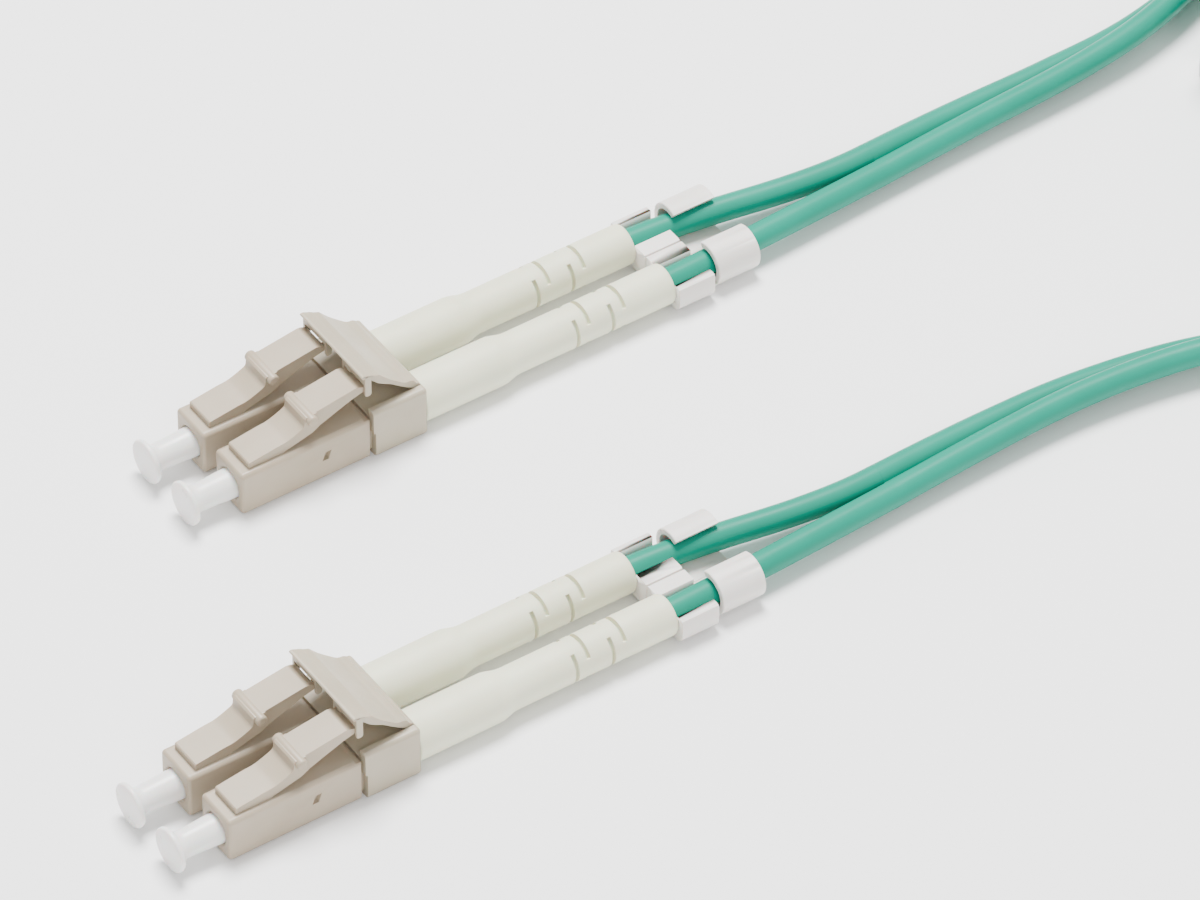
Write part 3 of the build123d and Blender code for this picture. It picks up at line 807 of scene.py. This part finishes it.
def latch():
    ramp = prism("latch", [
        (1.05, 2.1), (1.05, 2.9), (1.15, 3.0), (3.85, 3.38), (4.7, 3.45), (5.15, 3.56), (5.75, 3.78),
        (6.3, 4.02), (6.62, 4.18), (6.76, 4.3), (6.83, 4.5), (6.88, 5.05), (7.05, 5.22), (7.5, 5.26),
        (8.1, 5.3), (8.3, 3.6), (7.6, 3.2), (4.75, 2.45), (4.6, 2.3), (4.6, 2.1),
    ], -PAD_HALF, PAD_HALF)
    arm = prism("arm", [
        (7.0, 4.2), (7.05, 5.1), (7.4, 5.22), (12.1, 5.93), (12.45, 5.88), (13.0, 5.66), (13.1, 5.55),
        (13.1, 5.2), (12.4, 5.02), (11.8, 4.86), (7.6, 3.25),
    ], -ARM_HALF, ARM_HALF)
    ears = cross_rod("ears", 0.525, 7.5, 4.82, EAR_HALF, 0.2)
    weld(ramp, arm, ears)
    return soften(ramp, 0.08, 3, 30)


latch_model = latch()
latch_model.data.materials.append(BEIGE)
for piece in place_on_plugs(latch_model, "latch_arm", "latch", None):
    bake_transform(piece)


# %% [markdown]
# ## Duplex clips
# One clip grips the backs of both housings and sets them 6.25 mm apart. It is a tray with two
# side walls, and its rear wall has square holes for the plugs' backbones. The trigger's round
# hinge lies in a groove along the top of that wall.

# %% Duplex clips
CLIP_FRONT, CLIP_REAR, CLIP_HALF = 13.4, 19.0, 5.505
POCKET_HALF, POCKET_REAR = 4.655, 18.1
HOLE_HALF = 1.7
TRIGGER_HINGE = (18.45, 2.9)


def duplex_clip():
    body = block("clip", CLIP_FRONT, CLIP_REAR, -CLIP_HALF, CLIP_HALF, -2.3, 2.95)
    round_edges(body, 0.4, 5, along_x)
    round_edges(body, 0.3, 4, lambda a, b: min(a.x, b.x) > (CLIP_REAR - 0.01) * MM)
    front = CLIP_FRONT - 1
    pocket = block("pocket", front, POCKET_REAR, -POCKET_HALF, POCKET_HALF, 2.1, 4)
    ledge = block("ledge", POCKET_REAR - 1, CLIP_REAR + 1, -POCKET_HALF, POCKET_HALF, TRIGGER_HINGE[1], 4)
    groove = cross_rod("groove", 0.36, *TRIGGER_HINGE, POCKET_HALF)
    step = block("step", front, CLIP_FRONT + 0.2, -6, 6, -3, 0.5)
    holes = []
    for middle in (-HALF_PITCH, HALF_PITCH):
        holes.append(block("hole", front, CLIP_REAR + 1, middle - HOLE_HALF, middle + HOLE_HALF,
                           -HOLE_HALF, HOLE_HALF))
    cut(body, pocket, ledge, groove, step, *holes)
    return soften(body, 0.09, 3, 40)


clip_model = duplex_clip()
clip_model.data.materials.append(CLIP_BEIGE)
place_on_ends(clip_model, "duplex_clip_body", "duplex_clip", "cord_and_plugs")


# %% [markdown]
# ## Triggers
# The trigger is a thin plate that slopes up from the clip over both latch arms. Pressing it
# pushes both arms down. Its front edge is a raised lip with two fine steps behind it, and under
# it two saddles straddle the arms' ends. The plate widens towards the front, so the prism is cut
# with two slanted bisect planes.

# %% Triggers
TIP, TIP_HALF, ROOT_HALF = 12.4, 4.95, 4.605
SADDLE = (12.95, 13.58)
SADDLE_HALF, SADDLE_FOOT, SADDLE_TOP = 1.82, 4.7, 6.9
OPENING_HALF, OPENING_TOP = 1.56, 6.02


def slant_side(piece, side):
    """Cuts the plate along the slanting edge of its plan on that side."""
    only(piece)
    bpy.ops.object.mode_set(mode="EDIT")
    bpy.ops.mesh.select_all(action="SELECT")
    run = Vector((TRIGGER_HINGE[0] - TIP, -side * (TIP_HALF - ROOT_HALF), 0))
    outward = run.cross(Vector((0, 0, -side))).normalized()
    bpy.ops.mesh.bisect(plane_co=(TIP * MM, side * TIP_HALF * MM, 0), plane_no=outward,
                        clear_outer=outward.y * side > 0, clear_inner=outward.y * side < 0,
                        use_fill=True)
    bpy.ops.object.mode_set(mode="OBJECT")
    return tidy_mesh(piece)


def saddle(middle):
    """A stirrup over one arm end, with its two lower corners rounded."""
    shell = block("saddle", *SADDLE, middle - SADDLE_HALF, middle + SADDLE_HALF, SADDLE_FOOT, SADDLE_TOP)
    low = (SADDLE_FOOT + 0.1) * MM
    round_edges(shell, 0.25, 4, lambda a, b: abs(a.x - b.x) < LEVEL and max(a.z, b.z) < low)
    return shell


def trigger():
    plate = prism("trigger", [
        (18.45, 3.23), (18.15, 3.72), (17.8, 3.93), (17.45, 3.96), (17.2, 4.03), (16.9, 4.24),
        (16.4, 4.65), (15.9, 5.07), (15.4, 5.52), (14.9, 6.05), (14.58, 6.42), (14.46, 6.5),
        (14.0, 6.68), (13.92, 6.7), (13.86, 6.78), (13.0, 7.16), (12.85, 7.2), (12.7, 7.17),
        (12.62, 7.08), (12.66, 6.97), (12.85, 6.85), (13.65, 6.3), (14.0, 5.95), (14.3, 5.62),
        (14.9, 5.2), (15.7, 4.72), (16.6, 3.97), (17.4, 3.35), (18.0, 2.98), (18.45, 2.75),
    ], -5.2, 5.2)
    slant_side(plate, -1)
    slant_side(plate, 1)
    knuckle = cross_rod("knuckle", 0.33, *TRIGGER_HINGE, ROOT_HALF)
    middles = (-HALF_PITCH, HALF_PITCH)
    weld(plate, knuckle, *[saddle(middle) for middle in middles])
    cut(plate, *[
        block("opening", TIP - 1, TIP + 1.3, middle - OPENING_HALF, middle + OPENING_HALF, 3, OPENING_TOP)
        for middle in middles
    ])
    return soften(plate, 0.08, 3, 32, 35)


trigger_model = trigger()
trigger_model.data.materials.append(CLIP_BEIGE)
place_on_ends(trigger_model, "trigger_lever", "trigger", "trigger_{}")


# %% [markdown]
# ## Boots
# The boot is a soft tapered sleeve that keeps the cable from kinking. So that it can bend, eight
# short slots cut its rear half at four places: across the top and bottom at two of them, and
# across the two sides at the others, turn about. A part turn of a small rectangle makes each
# cutter. Plain rings along the rear half keep its shading even beside the slots.

# %% Boots
SLOT_HALF, SLOT_ARC = 0.19, 118
SLOT_FLOOR, SLOT_OUTER = 1.42, 2.4
TOP_SLOTS, SIDE_SLOTS = (36.4, 40.1), (35.1, 38.8)
REAR_START, REAR_RADIUS = 29.5, 1.94
RING_STEP, RINGS = 0.62, 24


def boot():
    front = [(19.0, 1.68), (19.0, 2.12), (19.06, 2.22), (19.2, 2.3), (27.2, 2.3), (27.6, 2.28),
             (28.1, 2.16), (28.7, 2.0), (29.1, 1.95)]
    rings = [(REAR_START + RING_STEP * i, REAR_RADIUS) for i in range(RINGS + 1)]
    rim = [(45.1, REAR_RADIUS), (45.33, 1.9), (45.46, 1.79), (BOOT_END, 1.65), (BOOT_END, 1.36),
           (45.42, 1.28)]
    bore = [(27.0, 1.28), (27.0, 1.68)]
    body = turned("boot", front + rings + rim + bore, 72)
    for slots, turns in ((TOP_SLOTS, (0, 180)), (SIDE_SLOTS, (90, 270))):
        for place in slots:
            section = [(place - SLOT_HALF, SLOT_FLOOR), (place - SLOT_HALF, SLOT_OUTER),
                       (place + SLOT_HALF, SLOT_OUTER), (place + SLOT_HALF, SLOT_FLOOR)]
            cutters = [turned("slot", section, 20, SLOT_ARC, turn - SLOT_ARC / 2) for turn in turns]
            cut(body, *cutters)
    return soften(body, 0.04, 2, 55, 35)


boot_model = boot()
boot_model.data.materials.append(BOOT_CREAM)
place_on_plugs(boot_model, "strain_relief_boot", "boot", "cord_and_plugs")


# %% [markdown]
# ## Cable holders
# Behind each boot, a clip of white nylon holds the cable: an open trough, a low web, and a hook
# that comes over the cable from the outer side. It is modelled for the plug at +Y, whose outer
# side is +Y. The pair meets along the middle with a hairline seam.

# %% Cable holders
INNER = -3.105
TROUGH, HOOK = (45.55, 49.3), (50.0, 54.4)


def cable_holder():
    trough = block("holder", *TROUGH, INNER, 2.33, -1.95, 0.8)
    round_edges(trough, 1.0, 6, lambda a, b: along_x(a, b) and a.z < -1.9 * MM and a.y > 0)
    round_edges(trough, 0.3, 2, lambda a, b: along_x(a, b) and a.z > 0.7 * MM)
    cut(trough, rod("channel", 1.5, TROUGH[0] - 1, TROUGH[1] + 1),
        block("open top", TROUGH[0] - 1, TROUGH[1] + 1, -1.5, 1.5, 0, 3))
    web = block("web", TROUGH[1] - 0.3, HOOK[1], INNER, 1.1, -1.95, -1.5)
    hook = turned("hook", [
        (HOOK[0], 1.5), (HOOK[0], 1.98), (HOOK[0] + 0.07, 2.05), (HOOK[1] - 0.07, 2.05),
        (HOOK[1], 1.98), (HOOK[1], 1.5),
    ], 44, 210, -30)
    below = block("below", HOOK[0] - 1, HOOK[1] + 1, -3, 3, -3, -1.95)
    cut(hook, below)
    weld(trough, web, hook)
    return soften(trough, 0.09, 3, 40)


holder_model = cable_holder()
holder_model.data.materials.append(HOLDER_WHITE)
place_on_plugs(holder_model, "cable_holder_clip", "cable_holder", "cord_and_plugs",
               handed=True)


# %% [markdown]
# ## Inner pieces
# The ferrule, its hub, the fibre's buffer, the spring, the backbone and the crimp sleeve have
# their true shapes in the model already. They stay, and only get their finishes here.

# %% Finishes of the inner pieces
INNER_FINISHES = {
    "ferrule_hub": NICKEL, "ferrule_spring": SPRING_STEEL, "ferrule": ZIRCONIA, "fibre": BUFFER,
    "backbone": BEIGE, "crimp_sleeve": CRIMP_ALLOY, "coil_tie": TIE_PLASTIC,
}


def finish_of(node):
    return next((f for title, f in INNER_FINISHES.items() if node.startswith(title)), None)


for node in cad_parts:
    kept = bpy.data.objects[node]
    finish = finish_of(node)
    if finish and not kept.hide_render:
        kept.data.materials.clear()
        kept.data.materials.append(finish)
print("kept nodes with a finish:", sum(1 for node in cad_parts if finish_of(node)))
